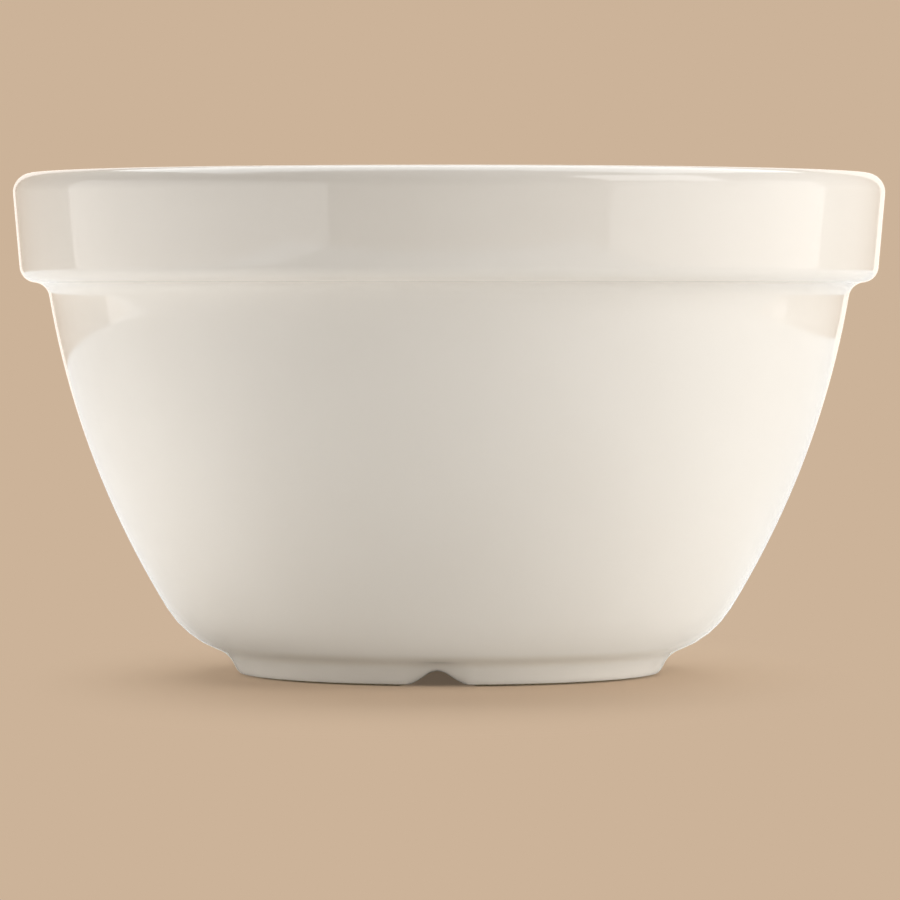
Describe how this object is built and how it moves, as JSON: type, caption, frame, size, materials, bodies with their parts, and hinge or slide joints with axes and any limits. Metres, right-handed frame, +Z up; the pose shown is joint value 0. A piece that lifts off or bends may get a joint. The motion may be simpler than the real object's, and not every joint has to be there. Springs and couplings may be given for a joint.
{
  "type": "pudding basin",
  "caption": "Round glazed earthenware pudding basin with a thick collar to tie a cloth under, a curved tapering wall, a flat floor and a notched foot ring.",
  "frame": {"origin": "on the table at the middle of the foot ring", "axes": "+Z up along the basin's axis; -Y faces the front, where one drain notch is"},
  "size_m": [0.16, 0.16, 0.092],
  "materials": {
    "biscuit": "bare fired earthenware, matt and fine grained, seen only on the wiped foot ring",
    "glaze": "cream white glossy glaze"
  },
  "bodies": {
    "root": {"biscuit_body": "biscuit", "glaze_coat": "glaze"}
  },
  "joints": []
}
